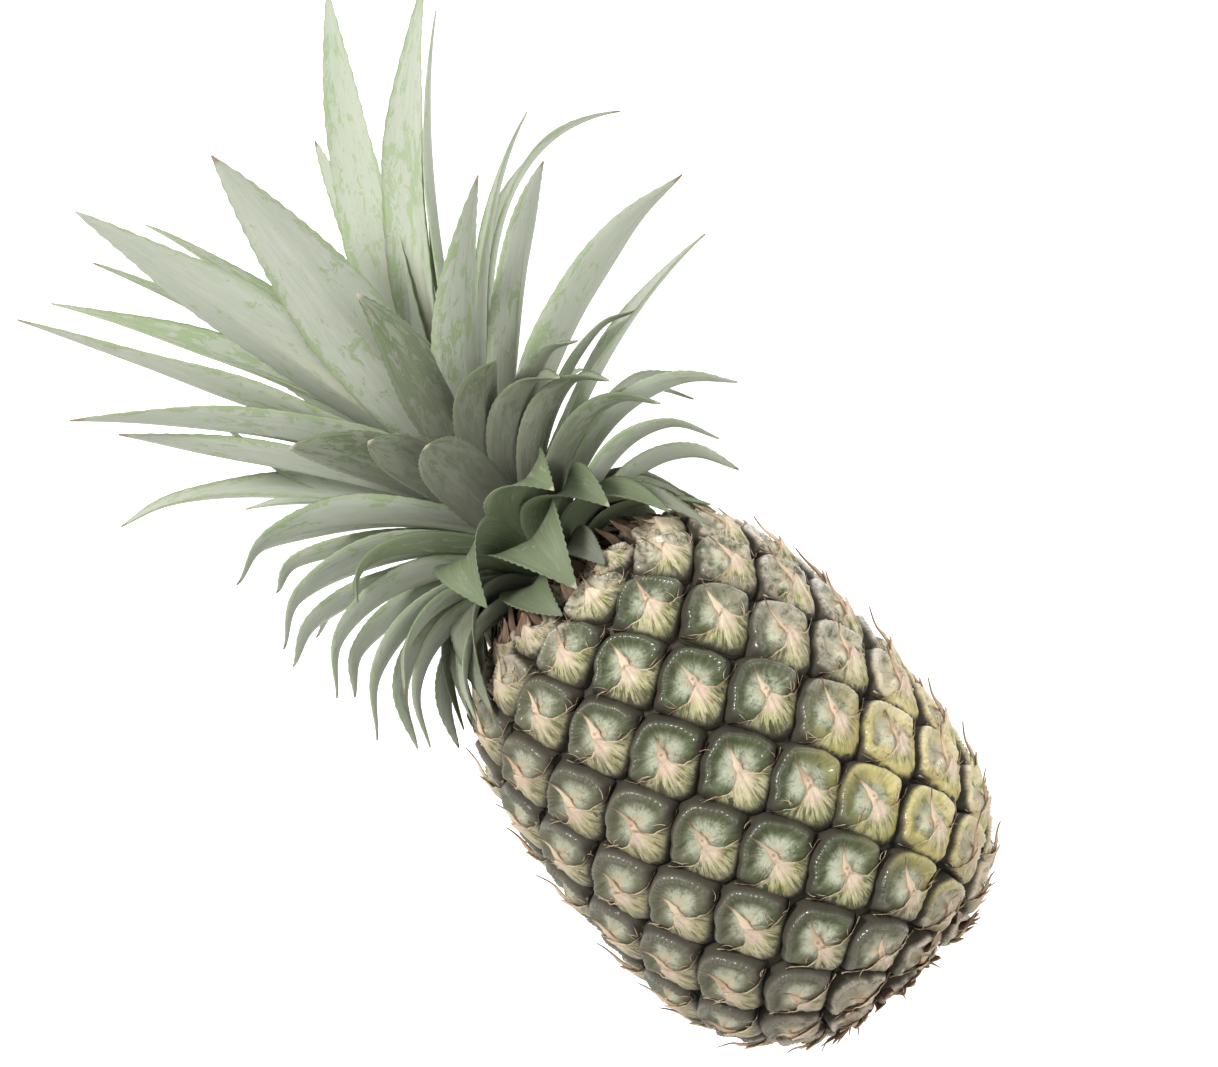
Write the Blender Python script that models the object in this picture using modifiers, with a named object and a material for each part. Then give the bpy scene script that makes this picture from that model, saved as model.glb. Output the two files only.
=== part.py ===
"""A pineapple lying on its side: a barrel of fused fruitlets, its cut stalk and its crown of leaves."""

import math

import bmesh
import bpy
from mathutils import Vector

MM = 0.001

# Fruit: lies along X, crown towards +X. Stations are (along, radius) in mm from the foot of the crown.
FRUIT_PROFILE = (
    (8.0, 17.0), (6.8, 25.0), (4.4, 33.0), (0.6, 40.4), (-5.0, 46.8), (-12.5, 51.6), (-21.5, 55.0),
    (-31.0, 57.6), (-40.5, 59.2), (-49.5, 60.2), (-58.5, 60.8), (-67.5, 61.1), (-76.5, 61.1),
    (-85.5, 60.9), (-94.5, 60.4), (-103.5, 59.4), (-112.5, 57.7), (-121.5, 54.8), (-130.5, 49.8),
    (-139.5, 42.4), (-145.6, 34.6), (-148.6, 28.0), (-147.6, 20.6), (-146.4, 12.4),
)
FRUIT_STATIONS = 36
FRUIT_SIDES = 72
FRUITLET_TURN = math.radians(137.508)
FRUITLET_RISE = 1.28
FRUITLETS_BELOW = 70
FRUITLETS_ABOVE = 64
FRUITLET_ZERO_ALONG = -64.8
FRUITLET_ZERO_TURN = math.radians(3.0)
FRUITLET_SPAN = 21.6
GROOVE_DEPTH = 4.4
DOME_RISE = 1.2
RELIEF_FADE = 9.0

# Cut stalk, set in the hollow at the fruit's lower end.
STALK_RADIUS = 11.6
STALK_TIP = -149.6
STALK_ROOT = -146.9
STALK_CHAMFER = 0.8

# Crown stem: a tapered core that carries every leaf. Stations are (along, radius).
STEM_PROFILE = ((8.4, 14.0), (12.0, 12.8), (20.0, 10.8), (40.0, 7.6), (58.0, 5.0), (72.0, 2.8), (76.0, 0.8))
STEM_SIDES = 28

# Leaf blades.
BLADE_THICK = 0.9
BLADE_GAP = 1.2
BASE_WIDTH = 0.36
WIDEST_AT = 0.42
TIP_WIDTH = 1.1
CHANNEL = 0.20
ROWS_LONG = 9
ROWS_SHORT = 7
LONG_BLADE = 90.0

# Each leaf: around the stem in degrees (0 is up, 90 is towards -Y), along at its base, then the (along, out) of
# its middle and of its tip, its width, how far it swings round by its tip, and its roll at the tip, in degrees.
INNER_LEAVES = (
    (133, 59, 133, 36, 196, 89, 21, 0, 30),
    (107, 52, 120, 40, 175, 93, 21, 0, 34),
    (93, 49, 114, 47, 160, 87, 12, 0, 0),
    (6, 52, 112, 30, 169, 46, 25, 0, 0),
    (-40, 54, 121, 30, 183, 56, 22, 0, 8),
    (-118, 62, 126, 13, 172, 26, 12, 8, 0),
    (-80, 59, 120, 22, 172, 44, 14, 0, 10),
    (-109, 56, 114, 28, 174, 65, 18, 2, -14),
    (-83, 49, 104, 33, 174, 72, 18, 0, 16),
    (13, 48, 82, 25, 111, 46, 19, 0, 0),
    (47, 45, 81, 34, 113, 81, 19, 0, -18),
    (102, 46, 96, 47, 123, 87, 12, 0, 0),
    (76, 39, 81, 47, 106, 80, 17, 0, -30),
)
SIDE_LEAVES = (
    (-68, 43, 92, 34, 139, 84, 19, 0, 12),
    (-80, 40, 84, 37, 128, 72, 17, 0, 22),
    (-103, 36, 86, 51, 111, 93, 17, 0, -16),
    (-60, 32, 64, 44, 76, 83, 17, 0, 22),
    (-88, 29, 56, 41, 67, 67, 14, 0, 26),
    (-65, 26, 51, 47, 53, 82, 17, 0, 22),
    (-90, 23, 43, 45, 47, 78, 14, 0, 26),
    (-64, 21, 39, 48, 31, 80, 16, 0, 22),
    (-91, 18, 32, 44, 28, 70, 14, 0, 28),
    (-66, 17, 27, 46, 14, 78, 16, 0, 24),
    (-93, 14, 21, 44, 4, 66, 14, 0, 28),
    (-71, 13, 18, 43, 1, 65, 14, 0, 24),
    (-97, 10, 11, 39, -6, 57, 13, 0, 28),
    (-56, 11, 12, 37, -3, 55, 13, 0, 16),
    (-46, 23, 47, 43, 45, 62, 11, -6, 20),
    (79, 35, 65, 54, 78, 108, 20, 0, -34),
    (107, 28, 51, 59, 60, 107, 15, 0, 10),
    (105, 34, 54, 43, 59, 73, 11, 0, 0),
    (117, 40, 104, 66, 107, 122, 12, 0, 0),
    (84, 20, 34, 47, 22, 79, 15, 0, -24),
    (76, 15, 26, 43, 14, 65, 13, 0, -24),
    (92, 12, 17, 42, 3, 62, 14, 0, -26),
)
FRONT_LEAVES = (
    (-38, 36, 69, 30, 90, 55, 18, 0, 8),
    (-17, 32, 58, 29, 76, 52, 16, 0, 4),
    (-4, 23, 49, 30, 64, 50, 18, 0, 0),
    (31, 36, 61, 30, 70, 53, 17, 0, -8),
    (45, 31, 54, 32, 57, 55, 16, 0, -12),
    (57, 27, 48, 36, 48, 59, 15, 0, -16),
    (62, 22, 38, 39, 33, 64, 15, 0, -18),
)
RECURVED_LEAVES = (
    (17, 18, 37, 36, 30, 55, 23, 0, 0),
    (34, 15, 28, 31, 16, 45, 21, 0, 0),
    (53, 12, 19, 32, 3, 47, 17, 0, 0),
    (71, 10, 12, 31, -3, 51, 14, 0, 0),
    (-28, 16, 32, 34, 17, 45, 22, 0, 0),
    (3, 13, 23, 33, 4, 44, 25, 0, 0),
    (-18, 10, 12, 30, 1, 43, 17, 10, 0),
)
UNDER_LEAVES = (
    (178, 47, 104, 33, 150, 59, 20, 0, 0),
    (152, 42, 86, 35, 122, 67, 18, 0, 0),
    (-154, 44, 92, 34, 132, 67, 18, 0, 0),
    (-172, 30, 56, 33, 68, 54, 16, 0, 0),
    (139, 27, 50, 40, 54, 72, 16, 0, 0),
    (-134, 34, 66, 41, 90, 84, 16, 0, 0),
    (-118, 20, 42, 44, 48, 78, 15, 0, 0),
    (115, 21, 38, 43, 38, 74, 14, 0, 0),
)
# Group name, its leaves, how full the blades stay towards the tip, and their colour.
LEAF_GROUPS = (
    ("inner_leaf", INNER_LEAVES, 1.6, "silver"),
    ("side_leaf", SIDE_LEAVES, 1.7, "crown"),
    ("front_leaf", FRONT_LEAVES, 2.6, "crown"),
    ("recurved_leaf", RECURVED_LEAVES, 1.4, "fresh"),
    ("under_leaf", UNDER_LEAVES, 1.6, "crown"),
)

# Colours: (red, green, blue), roughness.
COLOURS = {
    "rind": ((0.16, 0.17, 0.08), 0.6),
    "stalk": ((0.42, 0.33, 0.17), 0.85),
    "stem": ((0.30, 0.34, 0.20), 0.8),
    "silver": ((0.40, 0.46, 0.36), 0.62),
    "crown": ((0.22, 0.28, 0.18), 0.62),
    "fresh": ((0.12, 0.24, 0.09), 0.55),
}


def clear_scene():
    """Removes everything the file starts with."""
    for obj in list(bpy.data.objects):
        bpy.data.objects.remove(obj, do_unlink=True)


def material(name):
    """Returns the named plain material, made the first time it's asked for."""
    made = bpy.data.materials.get(name)
    if made:
        return made
    colour, rough = COLOURS[name]
    made = bpy.data.materials.new(name)
    made.use_nodes = True
    shader = made.node_tree.nodes["Principled BSDF"]
    shader.inputs["Base Color"].default_value = (*colour, 1.0)
    shader.inputs["Roughness"].default_value = rough
    shader.inputs["Metallic"].default_value = 0.0
    made.diffuse_color = (*colour, 1.0)
    return made


def add_object(name, mesh, look, collection):
    """Links a mesh as a smooth-shaded object."""
    obj = bpy.data.objects.new(name, mesh)
    mesh.materials.append(material(look))
    for face in mesh.polygons:
        face.use_smooth = True
    collection.objects.link(obj)
    return obj


def along_table(table, along):
    """Straight-line value of a (place, value) table, which may run either way."""
    rows = sorted(table)
    if along <= rows[0][0]:
        return rows[0][1]
    for low, high in zip(rows, rows[1:]):
        if along <= high[0]:
            part = (along - low[0]) / (high[0] - low[0])
            return low[1] + (high[1] - low[1]) * part
    return rows[-1][1]


def smooth_step(low, high, value):
    part = min(max((value - low) / (high - low), 0.0), 1.0)
    return part * part * (3.0 - 2.0 * part)


def even_stations(profile, count):
    """Points at equal steps of length along a smooth curve through the profile's stations."""
    points = [Vector((place, radius, 0.0)) for place, radius in profile]
    ends = [points[0] * 2 - points[1], *points, points[-1] * 2 - points[-2]]
    fine = []
    for before, first, second, after in zip(ends, ends[1:], ends[2:], ends[3:]):
        for step in range(8):
            t = step / 8.0
            bend = (second - before) * t + (before * 2 - first * 5 + second * 4 - after) * t * t
            fine.append(first + (bend + (first * 3 - before - second * 3 + after) * t ** 3) * 0.5)
    fine.append(points[-1])
    reach = [0.0]
    for first, second in zip(fine, fine[1:]):
        reach.append(reach[-1] + (second - first).length)
    result = []
    for index in range(count + 1):
        wanted = reach[-1] * index / count
        place = max(i for i, length in enumerate(reach) if length <= wanted + 1e-9)
        place = min(place, len(fine) - 2)
        part = (wanted - reach[place]) / (reach[place + 1] - reach[place])
        result.append(fine[place].lerp(fine[place + 1], part))
    return result


def turned_mesh(name, stations, sides):
    """A closed solid of revolution about X from (along, radius) stations that run from +X to -X."""
    mesh = bpy.data.meshes.new(name)
    work = bmesh.new()
    line = [work.verts.new((along * MM, 0.0, radius * MM)) for along, radius in stations]
    edges = [work.edges.new(pair) for pair in zip(line, line[1:])]
    bmesh.ops.spin(
        work, geom=[*line, *edges], cent=(0.0, 0.0, 0.0), axis=(1.0, 0.0, 0.0),
        angle=math.tau, steps=sides, use_merge=True, use_duplicate=False,
    )
    bmesh.ops.remove_doubles(work, verts=work.verts, dist=0.00001)
    bmesh.ops.holes_fill(work, edges=[edge for edge in work.edges if edge.is_boundary])
    bmesh.ops.recalc_face_normals(work, faces=work.faces)
    work.to_mesh(mesh)
    work.free()
    return mesh


def fruitlet_centres():
    """(along, turn) of each fruitlet on its spiral, and of the ones past both ends that share their grooves."""
    centres = []
    for index in range(-FRUITLETS_BELOW, FRUITLETS_ABOVE):
        along = FRUITLET_ZERO_ALONG + index * FRUITLET_RISE
        centres.append((along, FRUITLET_ZERO_TURN + index * FRUITLET_TURN))
    return centres


def relief(along, turn, radius, centres):
    """How far the skin stands off the smooth barrel here: low in the grooves, domed on each fruitlet."""
    distances = []
    for centre, around in centres:
        lift = along - centre
        if abs(lift) > FRUITLET_SPAN * 1.3:
            continue
        side = (turn - around + math.pi) % math.tau - math.pi
        distances.append(math.hypot(lift, side * radius))
    distances.sort()
    edge = distances[1] - distances[0]
    dome = 1.0 - (distances[0] / (FRUITLET_SPAN * 0.62)) ** 2
    return GROOVE_DEPTH * (smooth_step(0.0, 7.5, edge) - 1.0) + DOME_RISE * dome


def add_fruit(collection):
    """The barrel, with its skin raised into fruitlets."""
    stations = [(point.x, point.y) for point in even_stations(FRUIT_PROFILE, FRUIT_STATIONS)]
    mesh = turned_mesh("fruit", stations, FRUIT_SIDES)
    centres = fruitlet_centres()
    top, bottom = FRUIT_PROFILE[0][0], FRUIT_PROFILE[-3][0]
    for vertex in mesh.vertices:
        along = vertex.co.x / MM
        radius = math.hypot(vertex.co.y, vertex.co.z) / MM
        if radius < 13.0:
            continue
        turn = math.atan2(-vertex.co.y, vertex.co.z)
        fade = smooth_step(0.0, RELIEF_FADE, top - along) * smooth_step(0.0, RELIEF_FADE * 0.6, along - bottom)
        stand_off = relief(along, turn, max(radius, 30.0), centres) * fade
        scale = (radius + stand_off) / radius
        vertex.co.y *= scale
        vertex.co.z *= scale
    return add_object("fruit", mesh, "rind", collection)


def add_stalk(collection):
    """The cut end of the stalk, a short plug with a softened rim."""
    stations = (
        (STALK_ROOT, 0.4), (STALK_ROOT, STALK_RADIUS), (STALK_TIP + STALK_CHAMFER, STALK_RADIUS),
        (STALK_TIP, STALK_RADIUS - STALK_CHAMFER), (STALK_TIP, 0.4),
    )
    mesh = turned_mesh("cut_stalk", stations, 32)
    obj = add_object("cut_stalk", mesh, "stalk", collection)
    for face in mesh.polygons:
        face.use_smooth = False
    return obj


def add_stem(collection):
    """The core of the crown."""
    mesh = turned_mesh("crown_stem", STEM_PROFILE[::-1], STEM_SIDES)
    return add_object("crown_stem", mesh, "stem", collection)


def blade_width(share, width, taper):
    """Width of a blade at this share of its length: narrow foot, broad middle, pointed tip."""
    if share < WIDEST_AT:
        rise = math.sin(share / WIDEST_AT * math.pi * 0.5)
        return width * (BASE_WIDTH + (1.0 - BASE_WIDTH) * rise)
    fall = (share - WIDEST_AT) / (1.0 - WIDEST_AT)
    return TIP_WIDTH + (width - TIP_WIDTH) * (1.0 - fall ** taper)


def blade_point(leaf, share):
    """Centre line of a leaf: a parabola through its foot, middle and tip, in a plane that may swing round."""
    around, base, mid_along, mid_out, tip_along, tip_out, _, swing, _ = leaf
    foot_out = along_table(STEM_PROFILE, base) + BLADE_GAP
    bend_along = mid_along * 2 - (base + tip_along) * 0.5
    bend_out = mid_out * 2 - (foot_out + tip_out) * 0.5
    back = 1.0 - share
    along = back * back * base + 2 * back * share * bend_along + share * share * tip_along
    out = back * back * foot_out + 2 * back * share * bend_out + share * share * tip_out
    turn = math.radians(around + swing * share * share)
    return along, out, turn


def world_point(along, out, turn):
    return Vector((along, -out * math.sin(turn), out * math.cos(turn)))


def add_leaf(name, leaf, taper, look, collection):
    """A channelled blade, lofted along its centre line and thickened."""
    width, roll = leaf[6], leaf[8]
    length = sum(
        (world_point(*blade_point(leaf, (i + 1) / 8)) - world_point(*blade_point(leaf, i / 8))).length
        for i in range(8)
    )
    rows = ROWS_LONG if length > LONG_BLADE else ROWS_SHORT
    columns = 4 if length > LONG_BLADE else 2
    mesh = bpy.data.meshes.new(name)
    work = bmesh.new()
    grid = []
    for row in range(rows + 1):
        share = row / rows
        along, out, turn = blade_point(leaf, share)
        centre = world_point(along, out, turn)
        ahead = world_point(*blade_point(leaf, min(share + 0.02, 1.0)))
        behind = world_point(*blade_point(leaf, max(share - 0.02, 0.0)))
        forward = (ahead - behind).normalized()
        side = Vector((0.0, -math.cos(turn), -math.sin(turn)))
        side = (side - forward * side.dot(forward)).normalized()
        face = forward.cross(side)
        tilt = math.radians(roll * share * (2.0 - share))
        side, face = side * math.cos(tilt) + face * math.sin(tilt), face * math.cos(tilt) - side * math.sin(tilt)
        wide = blade_width(share, width, taper)
        lift = CHANNEL * wide * (1.0 - 0.4 * share)
        line = []
        for column in range(columns + 1):
            across = column / columns * 2.0 - 1.0
            place = centre + side * (across * wide * 0.5) + face * (lift * abs(across) ** 1.5)
            line.append(work.verts.new(place * MM))
        grid.append(line)
    for lower, upper in zip(grid, grid[1:]):
        for column in range(columns):
            work.faces.new((lower[column], lower[column + 1], upper[column + 1], upper[column]))
    work.to_mesh(mesh)
    work.free()
    obj = add_object(name, mesh, look, collection)
    shell = obj.modifiers.new("thickness", "SOLIDIFY")
    shell.thickness = BLADE_THICK * MM
    shell.offset = 0.0
    return obj


def rest_on_ground(objects):
    """Moves everything so that the whole stands on Z = 0 with its box centred on X = 0 and Y = 0."""
    bpy.context.view_layer.update()
    graph = bpy.context.evaluated_depsgraph_get()
    corners = []
    for obj in objects:
        shape = obj.evaluated_get(graph).to_mesh()
        corners.extend(obj.matrix_world @ vertex.co for vertex in shape.vertices)
    low = [min(corner[i] for corner in corners) for i in range(3)]
    high = [max(corner[i] for corner in corners) for i in range(3)]
    shift = Vector((-(low[0] + high[0]) * 0.5, -(low[1] + high[1]) * 0.5, -low[2]))
    for obj in objects:
        obj.location = obj.location + shift


def main():
    clear_scene()
    collection = bpy.data.collections.new("pineapple")
    bpy.context.scene.collection.children.link(collection)
    objects = [add_fruit(collection), add_stalk(collection), add_stem(collection)]
    for group, leaves, taper, look in LEAF_GROUPS:
        for index, leaf in enumerate(leaves, start=1):
            objects.append(add_leaf(f"{group}_{index:02d}", leaf, taper, look, collection))
    rest_on_ground(objects)


main()
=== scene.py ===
import math

import bmesh
import bpy
import numpy as np
from mathutils import Matrix, Vector


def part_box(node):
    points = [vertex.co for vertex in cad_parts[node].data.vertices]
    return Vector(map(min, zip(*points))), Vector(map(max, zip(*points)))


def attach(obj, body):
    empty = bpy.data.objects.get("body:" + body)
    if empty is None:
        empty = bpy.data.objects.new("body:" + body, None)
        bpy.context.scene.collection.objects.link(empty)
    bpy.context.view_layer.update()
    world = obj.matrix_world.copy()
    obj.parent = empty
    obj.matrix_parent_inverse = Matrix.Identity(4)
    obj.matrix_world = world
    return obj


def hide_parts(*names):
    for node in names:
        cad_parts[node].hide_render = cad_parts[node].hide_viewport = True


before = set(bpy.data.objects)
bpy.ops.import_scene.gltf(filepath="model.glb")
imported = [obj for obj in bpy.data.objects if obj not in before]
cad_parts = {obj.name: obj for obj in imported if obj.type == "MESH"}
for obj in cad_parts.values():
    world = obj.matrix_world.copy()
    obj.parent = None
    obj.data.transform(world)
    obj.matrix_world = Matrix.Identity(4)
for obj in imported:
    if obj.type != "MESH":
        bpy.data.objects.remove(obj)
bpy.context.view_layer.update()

bl_info = {
    "name": "Pineapple",
    "version": (1, 0, 0),
    "blender": (4, 5, 0),
    "location": "View3D > Sidebar > Pineapple",
    "description": "Builds the visible fruit, stalk and crown of a pineapple around its solid model",
    "category": "Object",
}

MM = 0.001
STEM_LOW, STEM_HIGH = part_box("crown_stem")
STEM_FOOT = 8.4
# The foot of the crown: every (along, out, around) below is in mm from here, along the fruit's axis.
ORIGIN = Vector((STEM_LOW.x - STEM_FOOT * MM, (STEM_LOW.y + STEM_HIGH.y) / 2, (STEM_LOW.z + STEM_HIGH.z) / 2))

# (along, radius) of the barrel from the hollow of its lower end round the rim to the foot of the crown.
BARREL = (
    (-145.6, 13.0), (-146.4, 20.6), (-146.2, 27.5), (-143.4, 34.0), (-138.2, 41.4), (-130.0, 48.9),
    (-121.5, 54.2), (-112.5, 56.8), (-103.5, 58.4), (-94.5, 59.3), (-85.5, 59.8), (-76.5, 60.0), (-67.5, 60.0),
    (-58.5, 59.7), (-49.5, 59.1), (-40.5, 58.1), (-31.0, 56.6), (-21.5, 54.2), (-12.5, 51.0), (-5.0, 46.4),
    (0.6, 40.2), (4.4, 33.0), (6.8, 25.0), (8.0, 17.0),
)
EYE_ZERO = -64.8
EYE_RISE = 1.28
EYE_TURN = math.radians(137.508)
EYE_ZERO_TURN = math.radians(3.0)
NEIGHBOUR_STEPS = (1, 2, 3, 5, 8, 13, 21, 34)
STEM_PROFILE = ((8.4, 14.0), (12.0, 12.8), (20.0, 10.8), (40.0, 7.6), (58.0, 5.0), (72.0, 2.8), (76.0, 0.8))

# Each leaf: around, base along, middle (along, out), tip (along, out), width, swing, roll, paleness, tip hook in mm.
# Paleness is partly the leaf's own tone and partly painted light: outer leaves painted lighter, leaves low in the
# rosette darker.
INNER_LEAVES = (
    (133, 59, 131, 40, 196, 89, 19, 0, 30, 1.0, 0),
    (107, 52, 120, 40, 175, 93, 21, 0, 34, 0.8, 0),
    (93, 49, 117, 44, 163, 84, 11, 0, 0, 0.95, 0),
    (6, 52, 112, 30, 169, 46, 25, 0, 0, 0.6, 0),
    (-40, 54, 121, 30, 183, 56, 22, 0, 8, 0.66, 0),
    (-118, 62, 126, 13, 172, 26, 12, 8, 0, 0.9, 0),
    (-80, 59, 120, 22, 172, 44, 14, 0, 10, 0.7, 0),
    (-109, 56, 114, 28, 174, 65, 18, 2, -14, 0.8, 0),
    (-83, 49, 104, 33, 174, 72, 18, 0, 16, 0.5, 0),
    (22, 48, 78, 27, 111, 46, 18, -9, 0, 0.0, 0),
    (47, 45, 81, 34, 113, 81, 19, 0, -18, 0.7, 0),
    (102, 46, 96, 47, 123, 87, 12, 0, 0, 0.8, 0),
    (76, 39, 81, 47, 106, 80, 17, 0, -30, 0.5, 0),
)
SIDE_LEAVES = (
    (-68, 43, 92, 34, 139, 84, 19, 0, 12, 0.55, 0),
    (-80, 40, 84, 37, 128, 72, 17, 0, 22, 0.55, 0),
    (-103, 36, 86, 51, 111, 93, 17, 0, -16, 0.7, 2),
    (-60, 32, 64, 44, 76, 83, 17, 0, 22, 0.62, 6),
    (-88, 29, 56, 41, 67, 67, 14, 0, 26, 0.62, 5),
    (-65, 26, 51, 47, 53, 82, 17, 0, 22, 0.66, 6),
    (-90, 23, 43, 45, 47, 78, 14, 0, 26, 0.66, 5),
    (-64, 21, 39, 48, 31, 80, 16, 0, 22, 0.66, 5),
    (-91, 18, 32, 44, 28, 70, 14, 0, 28, 0.66, 5),
    (-66, 17, 27, 46, 14, 78, 16, 0, 24, 0.66, 5),
    (-93, 14, 21, 44, 4, 66, 14, 0, 28, 0.66, 5),
    (-71, 13, 18, 43, 1, 65, 14, 0, 24, 0.6, 4),
    (-97, 10, 11, 39, -6, 57, 13, 0, 28, 0.6, 3),
    (-56, 11, 12, 37, -3, 55, 13, 0, 16, 0.4, 3),
    (-46, 23, 47, 43, 45, 62, 11, -6, 20, 0.2, 2),
    (79, 35, 65, 54, 78, 108, 20, 0, -34, 0.8, 2),
    (107, 28, 51, 59, 60, 107, 15, 0, 10, 0.8, 0),
    (105, 34, 54, 43, 59, 73, 11, 0, 0, 0.8, 3),
    (117, 40, 104, 66, 107, 122, 12, 0, 0, 0.95, 0),
    (84, 20, 34, 47, 22, 79, 15, 0, -24, 0.75, 3),
    (76, 15, 26, 43, 14, 65, 13, 0, -20, 0.75, 4),
    (92, 12, 17, 42, 3, 62, 14, 0, -26, 0.8, 4),
)
FRONT_LEAVES = (
    (-38, 36, 69, 30, 90, 55, 18, 0, 8, 0.12, 0),
    (-17, 32, 58, 29, 76, 52, 16, 0, 4, 0.08, 0),
    (-4, 23, 49, 30, 64, 50, 18, 0, 0, 0.05, 0),
    (31, 36, 61, 30, 70, 53, 17, 0, -8, 0.1, 0),
    (45, 31, 54, 32, 57, 55, 16, 0, -12, 0.14, 3),
    (57, 27, 48, 36, 48, 59, 15, 0, -16, 0.2, 4),
    (62, 22, 38, 39, 33, 64, 15, 0, -18, 0.25, 4),
)
RECURVED_LEAVES = (
    (17, 18, 37, 36, 30, 55, 23, 0, 0, 0.1, 0),
    (34, 15, 28, 31, 16, 45, 21, 0, 0, 0.1, 0),
    (53, 12, 19, 32, 3, 47, 17, 0, 0, 0.15, 0),
    (71, 10, 12, 31, -3, 51, 14, 0, 0, 0.15, 0),
    (-28, 16, 32, 34, 17, 45, 22, 0, 0, 0.1, 0),
    (3, 13, 23, 33, 4, 44, 25, 0, 0, 0.05, 0),
    (-18, 10, 12, 30, 1, 43, 17, 10, 0, 0.0, 0),
)
UNDER_LEAVES = (
    (178, 47, 104, 33, 150, 59, 20, 0, 0, 0.6, 0),
    (152, 42, 86, 35, 122, 67, 18, 0, 0, 0.6, 0),
    (-154, 44, 92, 34, 132, 67, 18, 0, 0, 0.6, 0),
    (-172, 30, 56, 33, 68, 54, 16, 0, 0, 0.5, 0),
    (139, 27, 50, 40, 54, 72, 16, 0, 0, 0.5, 0),
    (-134, 34, 66, 41, 90, 84, 16, 0, 0, 0.5, 0),
    (-118, 20, 42, 44, 48, 78, 15, 0, 0, 0.5, 3),
    (115, 21, 38, 43, 38, 74, 14, 0, 0, 0.6, 3),
)
# Group name, its leaves, a slot name, how full the blades stay towards the tip, how much is bare green.
LEAF_GROUPS = (
    ("inner_leaf", INNER_LEAVES, "silver", 1.6, 0.30),
    ("side_leaf", SIDE_LEAVES, "crown", 1.7, 0.25),
    ("front_leaf", FRONT_LEAVES, "crown", 2.6, 0.72),
    ("recurved_leaf", RECURVED_LEAVES, "fresh", 1.4, 1.35),
    ("under_leaf", UNDER_LEAVES, "crown", 1.6, 0.30),
)


# ---------------------------------------------------------------- settings

def length_property(name, description, millimetres):
    """A length that a user may change."""
    return bpy.props.FloatProperty(name=name, description=description, default=millimetres * MM, unit="LENGTH")


def colour_property(name, description, *default):
    """A colour that a user may change."""
    return bpy.props.FloatVectorProperty(name=name, description=description, default=default, subtype="COLOR")


class FruitSettings(bpy.types.PropertyGroup):
    groove_depth: length_property("Groove depth", "How far the grooves between the eyes lie below the skin", 4.2)
    rim_height: length_property("Rim height", "How far each eye's glossy rim stands up", 1.0)
    bead_height: length_property("Bead height", "Height of the small beads along each rim", 0.30)
    spine_length: length_property("Spine length", "Length of the dry tip of each eye's bract", 10.0)
    rim_colour: colour_property("Rim colour", "Dark glossy green of the eyes' rims", 0.045, 0.056, 0.018)
    felt_colour: colour_property("Felt colour", "Grey-green powdery felt inside the rims", 0.43, 0.455, 0.335)
    ripe_colour: colour_property("Ripe colour", "Olive yellow of the ripening side", 0.58, 0.49, 0.17)
    straw_colour: colour_property("Straw colour", "Dry bract tips and papery edges", 0.62, 0.50, 0.34)


class CrownSettings(bpy.types.PropertyGroup):
    blade_thickness: length_property("Blade thickness", "Thickness of a leaf at the middle of its foot", 1.6)
    tooth_size: length_property("Tooth size", "How far the small teeth stand out from a leaf's edge", 0.32)
    bloom_colour: colour_property("Bloom colour", "Silvery bloom on the leaves", 0.365, 0.395, 0.31)
    green_colour: colour_property("Green colour", "Leaf green where the bloom is rubbed off", 0.20, 0.27, 0.12)
    # painted shade: this dark olive is laid over the leaves' feet and over whole short leaves
    shade_colour: colour_property("Shade colour", "Dark olive of the leaves' feet and short leaves", 0.120, 0.124, 0.094)


class StageSettings(bpy.types.PropertyGroup):
    camera_height: bpy.props.FloatProperty(
        name="Camera height", description="Distance of the camera above the fruit's axis",
        default=1.5, unit="LENGTH",
    )
    view_width: bpy.props.FloatProperty(
        name="View width", description="Width of the picture at the height of the fruit's axis",
        default=0.3654, unit="LENGTH",
    )
    fruit_angle: bpy.props.FloatProperty(
        name="Fruit angle", description="How far the axis is turned in the picture, from level",
        default=math.radians(49.0), subtype="ANGLE",
    )
    floor_glow: bpy.props.FloatProperty(
        name="Floor glow", description="Brightness of the pale surface below the fruit", default=0.9, min=0.0,
    )
    sky_light: bpy.props.FloatProperty(
        name="Sky light", description="Brightness of the even light all round", default=0.70, min=0.0,
    )


# ---------------------------------------------------------------- shader expressions

class Value:
    """A socket in a material's nodes, so that shader maths reads as an expression."""

    def __init__(self, look, socket):
        self.look = look
        self.socket = socket

    def __add__(self, other):
        return self.look.maths("ADD", self, other)

    def __radd__(self, other):
        return self.look.maths("ADD", other, self)

    def __sub__(self, other):
        return self.look.maths("SUBTRACT", self, other)

    def __rsub__(self, other):
        return self.look.maths("SUBTRACT", other, self)

    def __mul__(self, other):
        return self.look.maths("MULTIPLY", self, other)

    def __rmul__(self, other):
        return self.look.maths("MULTIPLY", other, self)

    def __abs__(self):
        return self.look.maths("ABSOLUTE", self)


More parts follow.
